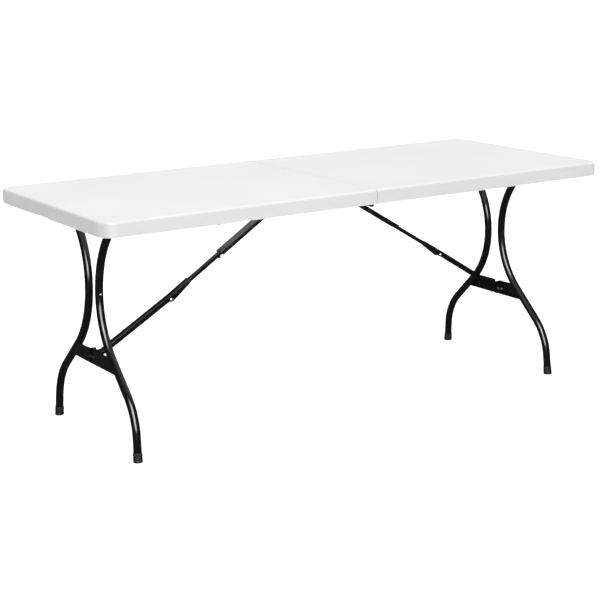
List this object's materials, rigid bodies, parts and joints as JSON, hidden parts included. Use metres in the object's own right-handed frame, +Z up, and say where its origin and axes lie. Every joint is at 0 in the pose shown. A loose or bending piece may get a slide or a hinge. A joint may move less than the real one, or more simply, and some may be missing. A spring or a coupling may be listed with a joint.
{
  "type": "folding trestle table",
  "caption": "Fold-in-half trestle table: a white moulded plastic top on two black wishbone steel leg frames, each held open by a diagonal knee brace that folds flat.",
  "frame": {"origin": "on the floor under the middle of the open table", "axes": "+X along the length with the braces in the XZ plane, +Y across the width to the rear, +Z up"},
  "size_m": [1.83, 0.76, 0.74],
  "materials": {
    "white_plastic": "fine grained white moulding",
    "black_steel": "semi-gloss black powder coat",
    "zinc_steel": "bright zinc plate",
    "black_rubber": "matt moulded rubber",
    "black_plastic": "satin moulded plastic"
  },
  "bodies": {
    "left_half": {"brace_anchor_left": "black_steel", "brace_anchor_pin_left": "zinc_steel", "handle_brackets": "black_plastic", "handle_clip": "black_plastic", "hinge_leaf_left_front": "black_steel", "hinge_leaf_left_rear": "black_steel", "hinge_pins": "black_steel", "rail_left_front": "black_steel", "rail_left_rear": "black_steel", "rail_screws_left": "zinc_steel", "top_left": "white_plastic"},
    "right_half": {"brace_anchor_pin_right": "zinc_steel", "brace_anchor_right": "black_steel", "hinge_leaf_right_front": "black_steel", "hinge_leaf_right_rear": "black_steel", "rail_right_front": "black_steel", "rail_right_rear": "black_steel", "rail_screws_right": "zinc_steel", "top_right": "white_plastic"},
    "leg_left": {"foot_cap_left_front": "black_rubber", "foot_cap_left_rear": "black_rubber", "leg_left_cross_plate": "black_steel", "leg_left_lug_plates": "black_steel", "leg_left_lug_rivets": "zinc_steel", "leg_left_lug_studs": "zinc_steel", "leg_left_neck_rivets": "zinc_steel", "leg_left_pivot_plugs": "black_plastic", "leg_left_pivot_tube": "black_steel", "leg_left_tube_front": "black_steel", "leg_left_tube_rear": "black_steel"},
    "leg_right": {"foot_cap_right_front": "black_rubber", "foot_cap_right_rear": "black_rubber", "leg_right_cross_plate": "black_steel", "leg_right_lug_plates": "black_steel", "leg_right_lug_rivets": "zinc_steel", "leg_right_lug_studs": "zinc_steel", "leg_right_neck_rivets": "black_steel", "leg_right_pivot_plugs": "black_plastic", "leg_right_pivot_tube": "black_steel", "leg_right_tube_front": "black_steel", "leg_right_tube_rear": "black_steel"},
    "brace_upper_left": {"brace_left_catch": "black_steel", "brace_left_knee_bracket": "black_steel", "brace_left_knee_pin": "zinc_steel", "brace_left_middle_bar": "black_steel", "brace_left_rivets": "black_steel", "brace_left_wide_channel": "black_steel"},
    "brace_upper_right": {"brace_right_knee_bracket": "black_steel", "brace_right_knee_pin": "zinc_steel", "brace_right_middle_bar": "black_steel", "brace_right_rivets": "black_steel", "brace_right_wide_channel": "black_steel"},
    "brace_lower_left": {"brace_left_end_bush": "zinc_steel", "brace_left_lower_link": "black_steel"},
    "brace_lower_right": {"brace_right_end_bush": "zinc_steel", "brace_right_lower_link": "black_steel"},
    "carry_handle": {"handle_bail": "zinc_steel", "handle_grip": "black_plastic"}
  },
  "joints": [
    {"name": "centre_fold", "type": "hinge", "parent": "left_half", "child": "right_half", "pos_m": [0, 0, 0.69], "axis": [0, 1, 0], "range_deg": [0, 90]},
    {"name": "leg_fold_left", "type": "hinge", "parent": "left_half", "child": "leg_left", "pos_m": [-0.7702, 0, 0.7095], "axis": [0, -1, 0], "range_deg": [0, 91.68]},
    {"name": "brace_swing_left", "type": "hinge", "parent": "left_half", "child": "brace_upper_left", "pos_m": [-0.035, 0, 0.716], "axis": [0, 1, 0], "range_deg": [0, 32.48]},
    {"name": "brace_knee_left", "type": "hinge", "parent": "brace_upper_left", "child": "brace_lower_left", "pos_m": [-0.52235, 0, 0.39924], "axis": [0, -1, 0], "range_deg": [0, 182.59]},
    {"name": "leg_fold_right", "type": "hinge", "parent": "right_half", "child": "leg_right", "pos_m": [0.7702, 0, 0.7095], "axis": [0, 1, 0], "range_deg": [0, 91.68]},
    {"name": "brace_swing_right", "type": "hinge", "parent": "right_half", "child": "brace_upper_right", "pos_m": [0.035, 0, 0.716], "axis": [0, -1, 0], "range_deg": [0, 31.4]},
    {"name": "brace_knee_right", "type": "hinge", "parent": "brace_upper_right", "child": "brace_lower_right", "pos_m": [0.52826, 0, 0.40852], "axis": [0, 1, 0], "range_deg": [0, 179.43]},
    {"name": "handle_swing", "type": "hinge", "parent": "left_half", "child": "carry_handle", "pos_m": [-0.457, -0.32, 0.69], "axis": [-1, 0, 0], "range_deg": [0, 180]}
  ],
  "couplings": [
    {"joint": "brace_swing_left", "follows": "leg_fold_left", "ratio": 0.35428},
    {"joint": "brace_knee_left", "follows": "leg_fold_left", "ratio": 1.9916},
    {"joint": "brace_swing_right", "follows": "leg_fold_right", "ratio": 0.34245},
    {"joint": "brace_knee_right", "follows": "leg_fold_right", "ratio": 1.9571}
  ]
}
